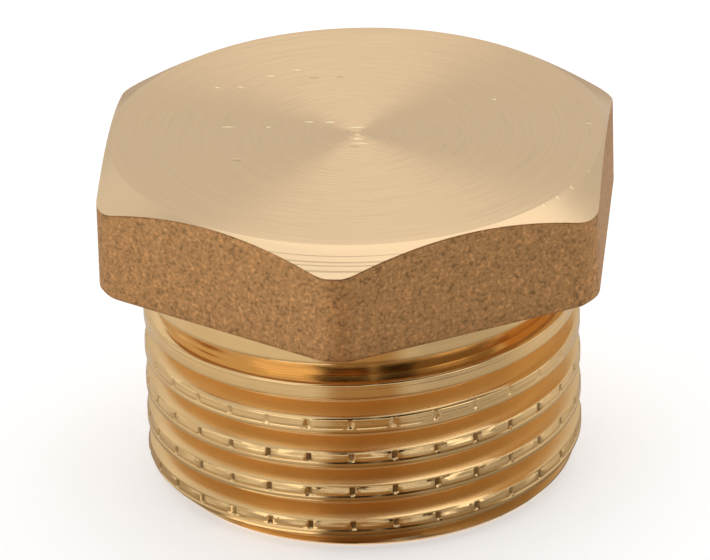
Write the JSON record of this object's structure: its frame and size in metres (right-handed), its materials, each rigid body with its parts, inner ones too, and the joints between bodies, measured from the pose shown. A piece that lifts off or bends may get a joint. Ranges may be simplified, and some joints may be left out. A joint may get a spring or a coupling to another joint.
{
  "type": "hexagon head pipe plug",
  "caption": "Forged brass blanking plug with a chamfered hexagon head, a plain band under it and a serrated right-hand pipe thread, hollow from the thread end.",
  "frame": {"origin": "centre of the thread end, on the axis, where the plug stands", "axes": "+Z along the axis from the thread end to the head, -Y through a corner of the hexagon"},
  "size_m": [0.0236, 0.0268, 0.017],
  "materials": {
    "brass": "turned top face and thread, blasted forged flanks"
  },
  "bodies": {
    "root": {"plug": "brass"}
  },
  "joints": []
}
